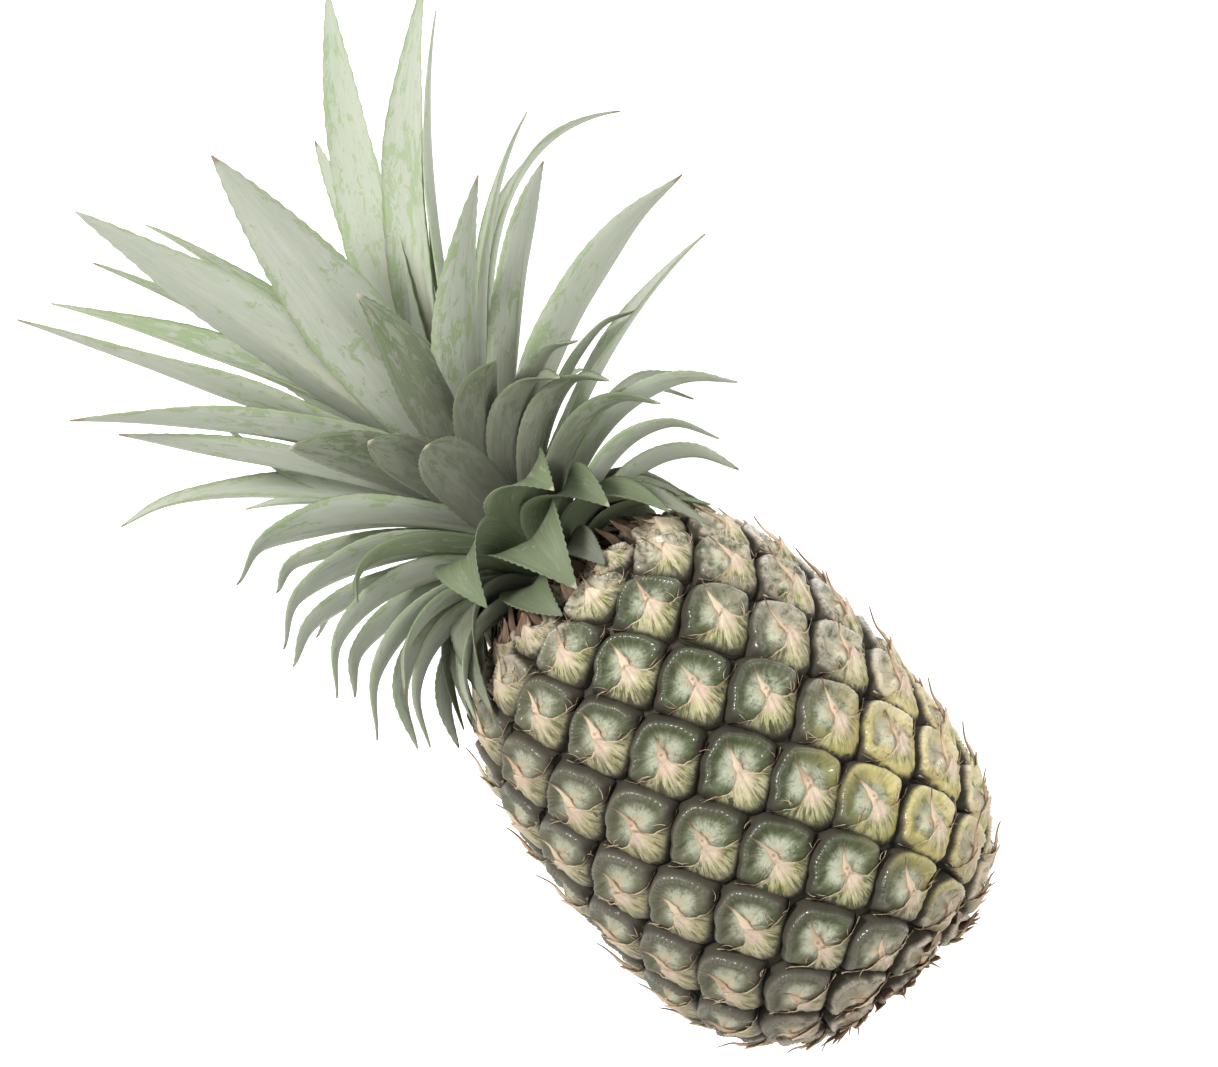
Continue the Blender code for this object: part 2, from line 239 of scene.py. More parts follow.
class Look:
    """One material and the calls that fill its node tree."""

    def __init__(self, name):
        self.material = bpy.data.materials.new(name)
        self.material.use_nodes = True
        self.tree = self.material.node_tree
        self.shader = self.tree.nodes["Principled BSDF"]

    def put(self, socket, value):
        if isinstance(value, Value):
            self.tree.links.new(value.socket, socket)
        elif isinstance(value, tuple) and len(value) == 3 and socket.type == "RGBA":
            socket.default_value = (*value, 1.0)
        else:
            socket.default_value = value

    def node(self, kind, settings=None, inputs=None, output=0):
        made = self.tree.nodes.new(kind)
        for key, value in (settings or {}).items():
            setattr(made, key, value)
        for key, value in (inputs or {}).items():
            self.put(made.inputs[key], value)
        return Value(self, made.outputs[output])

    def maths(self, operation, *values):
        return self.node("ShaderNodeMath", {"operation": operation}, dict(enumerate(values)))

    def attribute(self, name):
        vector = self.node("ShaderNodeAttribute", {"attribute_name": name}, output="Vector")
        parts = self.node("ShaderNodeSeparateXYZ", {}, {0: vector})
        return [Value(self, parts.socket.node.outputs[i]) for i in range(3)]

    def place(self):
        return self.node("ShaderNodeTexCoord", output="Object")

    def vector(self, x, y, z):
        return self.node("ShaderNodeCombineXYZ", {}, {0: x, 1: y, 2: z})

    def noise(self, vector, scale, detail=3.0, roughness=0.55, distortion=0.0):
        inputs = {
            "Vector": vector, "Scale": scale, "Detail": detail, "Roughness": roughness, "Distortion": distortion,
        }
        return self.node("ShaderNodeTexNoise", {}, inputs)

    def band(self, value, low, high):
        """0 at low, 1 at high, smooth between; low may be above high."""
        settings = {"interpolation_type": "SMOOTHSTEP"}
        if low > high:
            return 1.0 - self.node("ShaderNodeMapRange", settings, {0: value, 1: high, 2: low})
        return self.node("ShaderNodeMapRange", settings, {0: value, 1: low, 2: high})

    def blend(self, factor, first, second):
        made = self.node("ShaderNodeMix", {"data_type": "RGBA"}, {0: factor}, output=2)
        self.put(made.socket.node.inputs[6], first)
        self.put(made.socket.node.inputs[7], second)
        return made

    def layers(self, colour, *coats):
        """The colour with each (factor, colour) coat laid over it in turn."""
        for factor, coat in coats:
            colour = self.blend(factor, colour, coat)
        return colour

    def bump(self, height, strength, distance):
        return self.node("ShaderNodeBump", {}, {"Height": height, "Strength": strength, "Distance": distance})

    def surface(self, **inputs):
        for key, value in inputs.items():
            self.put(self.shader.inputs[key.replace("_", " ")], value)
        return self.material


# ---------------------------------------------------------------- mesh helpers

def smooth(low, high, value):
    part = np.clip((value - low) / (high - low), 0.0, 1.0)
    return part * part * (3.0 - 2.0 * part)


def to_world(along, out, turn):
    """Points in metres from mm along the axis, mm out from it and the turn about it."""
    return vectors(along, -out * np.sin(turn), out * np.cos(turn)) * MM + np.array(ORIGIN)


class Pile:
    """Closed sheets and shells gathered into one mesh, with a named vector at each vertex."""

    def __init__(self, *attributes):
        self.points = []
        self.faces = []
        self.values = {name: [] for name in attributes}
        self.count = 0

    def add(self, points, faces, **values):
        flat = points.reshape(-1, 3)
        self.points.append(flat)
        self.faces += [[corner + self.count for corner in face] for face in faces]
        for name, value in values.items():
            self.values[name].append(np.broadcast_to(value, (*points.shape[:-1], 3)).reshape(-1, 3))
        self.count += len(flat)

    def build(self, name, material):
        mesh = bpy.data.meshes.new(name)
        points = np.concatenate(self.points)
        low = points[:, 2] < MM
        points[low, 2] = MM * np.exp(points[low, 2] / MM - 1.0)
        mesh.from_pydata(points.tolist(), [], self.faces)
        for key, values in self.values.items():
            layer = mesh.attributes.new(key, "FLOAT_VECTOR", "POINT")
            layer.data.foreach_set("vector", np.concatenate(values).astype(np.float32).ravel())
        mesh.materials.append(material)
        mesh.polygons.foreach_set("use_smooth", np.ones(len(mesh.polygons), dtype=bool))
        mesh.validate()
        piece = bpy.data.objects.new(name, mesh)
        bpy.context.scene.collection.objects.link(piece)
        return piece


def vectors(x, y, z):
    """A vector at each vertex, from three grids or single numbers."""
    return np.stack(np.broadcast_arrays(x, y, z), axis=-1)


def grid_faces(rows, columns, start=0, flip=False):
    """Quads of a rows x columns grid of vertices."""
    index = np.arange(rows * columns).reshape(rows, columns) + start
    quads = np.stack([index[:-1, :-1], index[:-1, 1:], index[1:, 1:], index[1:, :-1]], axis=-1).reshape(-1, 4)
    return quads[:, ::-1] if flip else quads


def sheet_faces(rows, columns):
    """Faces of a closed sheet whose vertices are an upper grid and then the same grid lower down."""
    size = rows * columns
    index = np.arange(size).reshape(rows, columns)
    edge = np.concatenate([index[0, :-1], index[:-1, -1], index[-1, :0:-1], index[:0:-1, 0]])
    ahead = np.roll(edge, -1)
    walls = np.stack([ahead, edge, edge + size, ahead + size], axis=-1)
    return np.concatenate([grid_faces(rows, columns), grid_faces(rows, columns, size, flip=True), walls])


def ring_faces(rows, columns):
    """Quads between rings of vertices, and the index of each vertex and of the one after it in its ring."""
    index = np.arange(rows * columns).reshape(rows, columns)
    after = np.roll(index, -1, axis=1)
    quads = np.stack([index[:-1], index[1:], after[1:], after[:-1]], axis=-1).reshape(-1, 4)
    return quads.tolist(), index, after


def turned_piece(name, stations, columns, material, ripple=0.0):
    """A closed solid turned about the axis, with small ripples round it."""
    line = np.array(stations, dtype=float)
    turns = np.linspace(0.0, math.tau, columns, endpoint=False)
    wave = 1.0 + ripple * (np.sin(turns * 7) + 0.6 * np.sin(turns * 13 + 1) + 0.4 * np.sin(turns * 29 + 2))
    pile = Pile()
    pile.add(to_world(line[:, :1], line[:, 1:] * wave[None, :], turns[None, :]), ring_faces(len(line), columns)[0])
    piece = pile.build(name, material)
    work = bmesh.new()
    work.from_mesh(piece.data)
    bmesh.ops.holes_fill(work, edges=[edge for edge in work.edges if edge.is_boundary])
    bmesh.ops.recalc_face_normals(work, faces=work.faces)
    work.to_mesh(piece.data)
    work.free()
    return piece


def rides(piece, slot, *replaced):
    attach(piece, "root")
    if replaced:
        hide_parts(*replaced)
    return piece


# ---------------------------------------------------------------- the barrel's shape

def fine_profile(stations):
    """A smooth dense line through (along, radius) stations, with the length along it."""
    points = np.array(stations, dtype=float)
    points = np.concatenate([[2 * points[0] - points[1]], points, [2 * points[-1] - points[-2]]])
    step = np.linspace(0.0, 1.0, 12, endpoint=False)[:, None]
    line = []
    for before, first, second, after in zip(points, points[1:], points[2:], points[3:]):
        bend = (second - before) * step + (2 * before - 5 * first + 4 * second - after) * step ** 2
        line.append(first + 0.5 * (bend + (3 * first - before - 3 * second + after) * step ** 3))
    line = np.concatenate([*line, points[-2:-1]])
    reach = np.concatenate([[0.0], np.cumsum(np.hypot(*np.diff(line, axis=0).T))])
    return line, reach


BARREL_LINE, BARREL_REACH = fine_profile(BARREL)
EYE_STATION = int(np.argmin(np.abs(BARREL_LINE[:, 0] - EYE_ZERO)))
REACH_ZERO = float(BARREL_REACH[EYE_STATION])


def barrel_at(reach):
    """(along, radius, outward along, outward radius) at this length from the zero eye towards the crown."""
    place = np.clip(reach + REACH_ZERO, 0.0, BARREL_REACH[-1])
    along = np.interp(place, BARREL_REACH, BARREL_LINE[:, 0])
    radius = np.interp(place, BARREL_REACH, BARREL_LINE[:, 1])
    slope = np.gradient(BARREL_LINE, BARREL_REACH, axis=0)
    forward = np.interp(place, BARREL_REACH, slope[:, 0])
    rise = np.interp(place, BARREL_REACH, slope[:, 1])
    size = np.hypot(forward, rise)
    return along, radius, -rise / size, forward / size


def skin_points(reach, turn, height):
    along, radius, ahead, outward = barrel_at(reach)
    return to_world(along + ahead * height, radius + outward * height, turn)


def eye_list(rng):
    """Each eye's place along the skin, its turn, the lean of its spine and its seed."""
    first = math.ceil((4.0 - REACH_ZERO) / EYE_RISE)
    last = math.floor((BARREL_REACH[-1] - REACH_ZERO - 5.0) / EYE_RISE)
    eyes = []
    for number in range(first, last + 1):
        reach = number * EYE_RISE + rng.uniform(-0.5, 0.5)
        turn = EYE_ZERO_TURN + number * EYE_TURN + math.radians(rng.uniform(-0.7, 0.7))
        eyes.append((reach, turn, math.radians(10.0 + rng.uniform(-6.0, 6.0)), rng.uniform()))
    return eyes


def cell_size(reach, bearings):
    """How far the cell of an eye reaches at each bearing: half way to its neighbours, rounded on the crown side."""
    radius = float(barrel_at(reach)[1])
    crown = smooth(-0.2, 0.5, np.cos(bearings))
    sharp = 0.78 - 0.55 * crown
    total = np.zeros_like(bearings)
    for step in NEIGHBOUR_STEPS:
        turn = (step * EYE_TURN + math.pi) % math.tau - math.pi
        for sign in (1, -1):
            ahead, side = sign * step * EYE_RISE, sign * turn * radius
            facing = np.maximum(np.cos(bearings - math.atan2(side, ahead)), 0.08)
            total += np.exp(-sharp * math.hypot(ahead, side) / 2 / facing)
    return -np.log(total) / sharp * (1.06 + 0.075 * crown)


def eye_tones_and_painted_light(reach, turn):
    """(ripe, dry, shaded) shares of the skin here; the shaded share is painted shade and the dry share is partly
    painted light.
    """
    along = barrel_at(reach)[0]
    ripe = smooth(0.62, 0.93, np.cos(turn - math.radians(64))) * smooth(-60, -88, along) * smooth(-148, -130, along)
    # dry skin at both ends and on the side turned towards +84 degrees; on that side its pale straw is partly painted
    # light, lightening it as if lit
    dry = 0.72 * smooth(0.5, 1.0, np.cos(turn - math.radians(84))) + 0.7 * smooth(-8, 2, along)
    dry = dry + smooth(-128, -144, along)
    # painted shade on the side turned towards -85 degrees and towards the lower end, mixed with the lower end's real
    # brown
    shade = smooth(0.0, 0.9, np.cos(turn + math.radians(85))) * 0.75 + smooth(-112, -140, along) * 0.75
    return vectors(ripe, np.clip(dry, 0, 1), np.clip(shade, 0, 1))


EYE_RINGS = (0.06, 0.14, 0.24, 0.36, 0.46, 0.54, 0.61, 0.66, 0.70, 0.74, 0.78, 0.82, 0.86, 0.90, 0.94, 0.98, 1.03)
EYE_TOP, EYE_FOOT = 1.1, -6.0  # height of an eye's middle and of its hidden underside, in mm
RIM_AT, RIM_WIDTH = 0.74, 0.10
# (share of the way to the groove, height in mm) on the crown side, with its dish and rim, and on the base side.
CROWN_SIDE = (
    (0.0, 1.0), (0.12, 0.4), (0.26, -1.0), (0.42, -1.4), (0.54, -0.8), (0.64, 0.5), (0.72, 1.15), (0.80, 0.9),
    (0.87, -0.2), (0.93, -1.8), (0.98, -3.2), (1.03, -4.6),
)
BASE_SIDE = ((0.0, 1.3), (0.2, 1.1), (0.4, 0.6), (0.6, 0.1), (0.78, -0.6), (0.9, -1.3), (0.98, -2.5), (1.03, -4.6))


def eye_height(share, crown, bearing, rng, settings):
    """Height of an eye's skin: a dish inside a beaded rim on the crown side, a long slope on the other."""
    scale = settings.groove_depth / MM / 4.2
    high = np.interp(share, *zip(*CROWN_SIDE)) * np.where(share < 0.86, settings.rim_height / MM, scale)
    low = np.interp(share, *zip(*BASE_SIDE)) * scale
    height = high * crown + low * (1.0 - crown)
    phase = rng.uniform(0, 6, 4)
    rim = np.exp(-(((share - RIM_AT) / RIM_WIDTH) ** 2)) * crown
    patchy = 0.3 + 0.7 * np.abs(np.sin(bearing * 2.3 + phase[0]))
    beads = settings.bead_height / MM * rng.uniform(0.35, 1.25) * patchy * np.cos(bearing * 38.0 + phase[1])
    window = smooth(0.12, 0.3, share) * smooth(1.0, 0.9, share)
    lumps = 0.22 * np.sin(bearing * 3.0 + phase[2]) + 0.14 * np.sin(bearing * 7.0 + share * 9.0 + phase[3])
    return height + rim * beads + lumps * window


DARK_GREEN, LEAF_GREEN = (0.092, 0.110, 0.054), (0.082, 0.100, 0.036)
GROOVE_DARK, GROOVE_PALE = (0.030, 0.027, 0.018), (0.075, 0.062, 0.040)
OLIVE_DARK, CREAM, PINK_CREAM = (0.036, 0.036, 0.021), (0.82, 0.70, 0.51), (0.74, 0.52, 0.43)
# the first brown below is laid as painted shade on the shaded share, mixed with the lower end's real brown
SHADE_AND_BASE_BROWN, RUSSET, SPINE_BROWN = (0.200, 0.160, 0.125), (0.30, 0.16, 0.10), (0.15, 0.09, 0.055)


def skin_noises(look):
    """Fine speckle and broader patches of the fruit's skin."""
    place = look.place()
    return look.noise(place, 1500.0, 4.0, 0.7), look.noise(place, 330.0, 4.0, 0.65)


def skin_look(settings):
    look = Look("eye_skin")
    seed, _, _ = look.attribute("eye")
    share, crown, bearing = look.attribute("form")
    ripe, dry, shade = look.attribute("tone")
    speckle, patches = skin_noises(look)
    broad = look.noise(look.place(), 50.0, 2.0)
    rays = look.noise(look.vector(bearing * 22.0, share * 3.0, seed * 19.0), 1.0, 4.0, 0.65)
    rim = look.layers(
        tuple(settings.rim_colour),
        (look.band(rays + patches * 0.5, 0.6, 0.95), LEAF_GREEN),
        (look.band(share + patches * 0.1, 0.74, 0.88) * 0.9, OLIVE_DARK),
    )
    felt = look.layers(
        DARK_GREEN,
        (look.band(speckle * 0.5 + patches * 0.8 + rays * 0.5 - share * 0.55, 0.42, 0.84), tuple(settings.felt_colour)),
        (look.band(speckle + rays * 0.5, 0.92, 1.05) * 0.6, (0.58, 0.60, 0.52)),
    )
    ripe = ripe * look.band(share + patches * 0.4, 0.52, 0.80)
    ripe_rim = look.layers(
        tuple(settings.ripe_colour),
        (look.band(rays, 0.4, 0.65), (0.38, 0.345, 0.095)),
        (look.band(share, 0.86, 0.98), (0.11, 0.105, 0.035)),
    )
    colour = look.layers(
        rim,
        (look.band(share + patches * 0.30 + broad * 0.08, 0.86, 0.50), felt),
        (ripe * look.band(patches + broad * 0.5 + rays * 0.4, 0.55, 0.85) * 0.92, ripe_rim),
        # dry straw, partly painted light lightening the side turned towards +84 degrees
        (dry * look.band(patches + broad * 0.5, 0.50, 0.86) * 0.85, (0.80, 0.69, 0.53)),
        # painted shade on the shaded share, with the lower end's real brown
        (shade * 0.42, SHADE_AND_BASE_BROWN),
        (look.band(share + patches * 0.2, 0.40, 0.14), (0.44, 0.36, 0.24)),
        (look.band(share + speckle * 0.08, 0.84, 0.94), look.blend(speckle, GROOVE_DARK, GROOVE_PALE)),
    )
    gloss = crown * look.band(share, 0.5, 0.64) * look.band(share, 0.90, 0.82)
    # less coat where shade is painted
    gloss = gloss * (1.0 - ripe * 0.5) * (1.0 - shade * 0.8)
    return look.surface(
        Base_Color=colour, Roughness=0.80 - gloss * 0.48, Coat_Weight=gloss * 0.6, Coat_Roughness=0.13,
        Specular_IOR_Level=0.45, Normal=look.bump(speckle * 0.4 + patches + rays * 0.8, 0.5, 0.0007),
    )


def groove_look():
    look = Look("groove_skin")
    place = look.place()
    grain = look.noise(place, 900.0, 4.0)
    broad = look.noise(place, 80.0, 3.0)
    patches = look.band(broad, 0.55, 0.75) * 0.5
    colour = look.layers((0.026, 0.023, 0.015), (grain, (0.062, 0.050, 0.033)), (patches, (0.10, 0.07, 0.045)))
    return look.surface(Base_Color=colour, Roughness=0.75, Normal=look.bump(grain, 0.5, 0.0008))


def bract_look(settings):
    """Bracts cream at the middle, green and streaked towards the groove; their spines and hairs straw and brown."""
    look = Look("bract")
    along, across, seed = look.attribute("bract")
    share, bearing, _ = look.attribute("form")
    ripe, dry, shade = look.attribute("tone")
    straw = tuple(settings.straw_colour)
    speckle, patches = skin_noises(look)
    rays = look.noise(look.vector(bearing * 20.0, share * 1.4, seed * 23.0), 1.0, 4.0, 0.7)
    dashes = look.noise(look.vector(bearing * 46.0, share * 3.0, seed * 41.0), 1.0, 2.0, 0.5)
    inner = look.blend(look.band(patches, 0.3, 0.7), PINK_CREAM, CREAM)
    middle = look.blend(look.band(patches, 0.35, 0.65), (0.30, 0.315, 0.095), (0.45, 0.42, 0.23))
    outer = look.blend(look.band(speckle, 0.35, 0.65), (0.120, 0.125, 0.050), (0.28, 0.275, 0.145))
    brown = look.band(dashes, 0.64, 0.70) * look.band(share, 0.35, 0.6) * look.band(share, 1.0, 0.85)
    margin = look.band(along + speckle * 0.03, 0.93, 0.97) * look.band(along, 1.01, 1.0)
    sheet = look.layers(
        inner,
        (look.band(share + rays * 0.5, 0.50, 0.92), middle),
        (look.band(share + rays * 0.45, 0.84, 1.10), outer),
        (look.band(rays, 0.50, 0.61) * look.band(share, 1.02, 0.62) * 0.75, (0.60, 0.54, 0.36)),
        (look.band(rays * 0.6 + dashes * 0.4, 0.51, 0.44) * look.band(share, 0.34, 0.66) * 0.85, (0.060, 0.057, 0.030)),
        (ripe * look.band(share + patches * 0.5, 0.75, 1.05) * 0.85,
         look.blend(patches, (0.60, 0.50, 0.17), (0.42, 0.38, 0.10))),
        # dry straw on the bracts, partly painted light lightening the side turned towards +84 degrees
        (dry * look.band(patches, 0.38, 0.62) * 0.65, (0.76, 0.63, 0.47)),
        # painted shade on the bracts' shaded share, with the lower end's real brown
        (shade * 0.45, (0.235, 0.180, 0.130)),
        (brown * 0.8, (0.28, 0.15, 0.075)),
        (look.band(share + speckle * 0.08 + rays * 0.3, 1.02, 1.16), (0.040, 0.036, 0.024)),
        (margin * 0.9, look.blend(look.band(patches, 0.4, 0.65), straw, (0.30, 0.17, 0.09))),
    )
    scar = look.band(abs(along - 1.42) * 7.0 + abs(across) * 0.9 + patches * 0.6, 1.0, 0.5)
    spine = look.layers(
        inner,
        (look.band(along, 1.15, 1.6), look.blend(look.band(seed, 0.35, 0.9), straw, (0.40, 0.28, 0.18))),
        # dry spines turn brown; the shaded share adds painted shade
        (dry * 0.4 + shade * 0.3, (0.36, 0.24, 0.15)),
        (scar * look.band(seed, 0.2, 0.5) * 0.75, RUSSET),
        (look.band(abs(across) + patches * 0.4, 0.95, 1.2) * 0.6, (0.34, 0.20, 0.12)),
        (look.band(along + speckle * 0.15, 1.80, 2.0), SPINE_BROWN),
    )
    return look.surface(
        Base_Color=look.blend(look.band(along, 1.02, 1.12), sheet, spine), Roughness=0.66, Specular_IOR_Level=0.4,
        Normal=look.bump(rays * 1.2 + dashes * 0.5 + speckle * 0.4, 0.6, 0.0008),
    )


class PINEAPPLE_OT_barrel(bpy.types.Operator):
    """Builds the dark skin between the eyes and the hollow lower end"""

    bl_idname = "pineapple.barrel"
    bl_label = "Barrel"

    def execute(self, context):
        settings = context.scene.pineapple_fruit
        depth = settings.groove_depth / MM + 0.9
        reach = np.linspace(-REACH_ZERO, BARREL_REACH[-1] - REACH_ZERO, 90)
        along, radius, ahead, outward = barrel_at(reach)
        sunk = depth * smooth(2.0, 12.0, reach - reach[0]) * smooth(0.0, 5.0, reach[-1] - reach)
        line = np.stack([along - ahead * sunk, radius - outward * sunk], axis=-1)
        line = np.concatenate([[(-145.6, 0.3)], line, [(8.0, 0.3)]])
        rides(turned_piece("barrel_skin", line, 144, groove_look()), "rind", "fruit")
        return {"FINISHED"}


class PINEAPPLE_OT_eyes(bpy.types.Operator):
    """Builds the domed skin of every eye, with its beaded rim"""

    bl_idname = "pineapple.eyes"
    bl_label = "Eyes"

    def execute(self, context):
        settings = context.scene.pineapple_fruit
        material = skin_look(settings)
        rng = np.random.default_rng(11)
        crown_angles = np.linspace(-1.9, 1.9, 84)
        base_angles = np.linspace(1.9, math.tau - 1.9, 16)[1:-1]
        angles = np.concatenate([crown_angles, base_angles])
        piles = [Pile("eye", "form", "tone") for _ in range(4)]
        rows, columns = len(EYE_RINGS), len(angles)
        grid, local = np.meshgrid(EYE_RINGS, angles, indexing="ij")
        crown = smooth(-0.45, 0.05, np.cos(local))
        faces = dome_faces(rows, columns)
        for reach, turn, lean, seed in eye_list(np.random.default_rng(3)):
            bearing = local + lean
            size = cell_size(reach, bearing[0])
            radius = float(barrel_at(reach)[1])
            ahead = grid * size * np.cos(bearing)
            side = grid * size * np.sin(bearing)
            height = eye_height(grid, crown, local, rng, settings)
            rim = skin_points(reach + ahead[-1], turn + side[-1] / radius, EYE_FOOT)
            points = skin_points(reach + ahead, turn + side / radius, height).reshape(-1, 3)
            ends = skin_points(reach, turn, np.array([EYE_TOP, EYE_FOOT]))
            tones_and_painted_light = eye_tones_and_painted_light(reach + ahead, turn + side / radius).reshape(-1, 3)
            form = vectors(grid, crown, (local + math.pi) % math.tau / math.pi - 1.0)
            pile = piles[int((turn % math.tau) // (math.pi / 2))]
            pile.add(
                np.concatenate([points, rim, ends]), faces, eye=(seed, seed, seed),
                form=with_more(form, columns + 2), tone=with_more(tones_and_painted_light, columns + 2),
            )
        for place, pile in enumerate(piles):
            rides(pile.build(f"eyes_{place + 1}", material), "rind", "fruit")
        return {"FINISHED"}


def with_more(values, count):
    flat = values.reshape(-1, 3)
    more = np.repeat(flat[-1:], count, axis=0)
    more[-2] = flat[0]
    return np.concatenate([flat, more])


def dome_faces(rows, columns):
    """Faces of rings of vertices, a lower ring, then the points at the middle of the top and of the bottom."""
    rings, index, after = ring_faces(rows + 1, columns)
    top, bottom = index.size, index.size + 1
    lid = [(top, first, second) for first, second in zip(index[0], after[0])]
    floor = [(second, first, bottom) for first, second in zip(index[-1], after[-1])]
    return rings + lid + floor


BRACT_THICKNESS, HAIR_THICKNESS = 0.3, 0.18
BRACT_WRAP = math.radians(84)
BRACT_COLUMNS = (0.0, 0.05, 0.1, 0.16, 0.24, 0.33, 0.43, 0.54, 0.66, 0.78, 0.9, 1.0)
BRACT_ROWS = (0.0, 0.15, 0.3, 0.45, 0.6, 0.73, 0.84, 0.92, 0.97, 1.0)
HAIRS = 7
# A bract's upper edge, (share of its half width, mm towards the crown), and its spine,
# (mm towards the crown, half width, height), for an eye of full size.
BRACT_EDGE = ((0.0, -0.6), (0.1, -1.4), (0.18, -2.7), (0.32, -3.7), (0.55, -3.8), (0.8, -3.2), (1.0, -1.6))
SPINE = (
    (-5.2, 1.3, 0.6), (-3.8, 1.6, 1.4), (-2.4, 1.35, 1.9), (-1.0, 1.15, 2.1), (0.2, 1.35, 2.3), (1.2, 1.3, 2.35),
    (2.2, 0.85, 2.3), (3.5, 0.62, 2.4), (5.2, 0.42, 2.7), (7.0, 0.24, 3.2), (9.0, 0.08, 4.0),
)


class PINEAPPLE_OT_bracts(bpy.types.Operator):
    """Builds the bract and the dry spine over every eye"""

    bl_idname = "pineapple.bracts"
    bl_label = "Bracts"

    def execute(self, context):
        settings = context.scene.pineapple_fruit
        material = bract_look(settings)
        rng = np.random.default_rng(29)
        piles = [Pile("bract", "form", "tone") for _ in range(2)]
        for eye in eye_list(np.random.default_rng(3)):
            pile = piles[int((eye[1] % math.tau) // math.pi)]
            self.add_bract(pile, eye, rng)
            self.add_spine(pile, eye, settings, rng)
            self.add_hairs(pile, eye, rng)
        for place, pile in enumerate(piles):
            rides(pile.build(f"bracts_{place + 1}", material), "rind", "fruit")
        return {"FINISHED"}

    def add_bract(self, pile, eye, rng):
        """A sheet over the lower half of an eye, its upper edge dipping from the spine and rising to both corners."""
        reach, _, lean, _ = eye
        columns = np.concatenate([-np.array(BRACT_COLUMNS[:0:-1]), BRACT_COLUMNS])
        level, across = np.meshgrid(BRACT_ROWS, columns, indexing="ij")
        corner = cell_size(reach, lean + np.array([-1.66, 1.66]))
        full = cell_size(reach, np.array([math.pi + lean]))[0] / 11.5
        foot_angle = math.pi - columns * BRACT_WRAP
        foot = cell_size(reach, foot_angle + lean) * 0.99
        wave = 0.30 * np.sin(columns * 11 + rng.uniform(0, 6)) + 0.15 * np.sin(columns * 23 + rng.uniform(0, 6))
        edge_up = np.interp(np.abs(columns), *zip(*BRACT_EDGE)) * full + wave * smooth(0.2, 0.5, np.abs(columns))
        edge_side = columns * np.where(columns < 0, corner[0], corner[1]) * 1.02
        up = foot * np.cos(foot_angle) * (1 - level) + edge_up * level
        side = foot * np.sin(foot_angle) * (1 - level) + edge_side * level
        local = np.arctan2(side, up)
        share = np.hypot(up, side) / cell_size(reach, (local + lean).ravel()).reshape(local.shape)
        lip = 0.9 * smooth(0.72, 1.0, level) * (1 - 0.35 * np.abs(across))
        keel = 0.9 * np.exp(-((side / 1.9) ** 2)) * smooth(0.95, 0.5, share)
        ribs = 0.24 * np.sin(local * 17 + rng.uniform(0, 6)) * smooth(0.15, 0.4, share)
        height = np.interp(share, *zip(*BASE_SIDE)) + 0.35 + lip + keel + ribs
        bridge = -0.8 * np.ones_like(height) + 0.5 * level
        corner_mask = smooth(0.55, 1.0, np.abs(across)) * smooth(0.7, 1.0, level)
        height = np.maximum(height, bridge * corner_mask + height * (1 - corner_mask))
        self.add_sheet(pile, eye, up, side, height, BRACT_THICKNESS, level, across, eye[3], share, local)

    def add_spine(self, pile, eye, settings, rng):
        """A narrow ridged spine from the middle of an eye towards the crown."""
        stations = np.array(SPINE)
        offsets = np.array([-1.0, -0.5, 0.0, 0.5, 1.0])
        full = min(1.1, cell_size(eye[0], np.array([eye[2]]))[0] / 12.8)
        length = settings.spine_length / MM / 10.0 * rng.uniform(0.75, 1.2) * full
        steps = stations[:, 0] * np.where(stations[:, 0] > 0, length, full)
        lean, bend = rng.uniform(-0.22, 0.22), rng.uniform(-0.03, 0.03)
        wide = stations[:, 1] * rng.uniform(0.8, 1.15) * (0.5 + 0.5 * full)
        rise = rng.uniform(-0.8, 1.6) * smooth(3.0, 10.0, stations[:, 0])
        ahead = np.maximum(steps, 0.0)
        middle = lean * ahead + bend * ahead ** 2
        up = steps[:, None] - offsets[None, :] * wide[:, None] * 0.35 * (lean + 2 * bend * ahead)[:, None]
        side = middle[:, None] + offsets[None, :] * wide[:, None]
        ridge = (0.45 - 0.85 * np.abs(offsets))[None, :] * np.minimum(wide, 1.2)[:, None] * 0.8
        height = (stations[:, 2] + rise)[:, None] + ridge
        along, across = np.meshgrid(np.linspace(1.0, 2.0, len(stations)), offsets, indexing="ij")
        self.add_sheet(pile, eye, up, side, height, BRACT_THICKNESS, along, across, eye[3])

    def add_hairs(self, pile, eye, rng):
        """Fine dry hairs from the bract's edge."""
        width = cell_size(eye[0], np.array([eye[2] + 1.6]))[0]
        for _ in range(HAIRS):
            start = rng.uniform(-0.95, 0.95)
            length = rng.uniform(2.5, 5.5)
            toward = rng.uniform(-1.1, 1.1) + start * 0.6
            steps = np.linspace(0.0, 1.0, 5)[:, None]
            offsets = np.array([-1.0, 1.0])[None, :]
            half = 0.11 * (1.0 - steps * 0.8)
            curve = toward + rng.uniform(-0.8, 0.8) * steps
            foot = np.interp(abs(start), *zip(*BRACT_EDGE)) - 0.6
            up = foot + steps * length * np.cos(curve) - offsets * half * np.sin(curve)
            side = start * width * 0.9 + steps * length * np.sin(curve) + offsets * half * np.cos(curve)
            height = 0.5 - 0.9 * abs(start) + steps * rng.uniform(0.6, 2.4) + np.zeros(2)
            along = 1.35 + 0.6 * steps + np.zeros(2)
            self.add_sheet(pile, eye, up, side, height, HAIR_THICKNESS, along, np.zeros_like(along), rng.uniform())

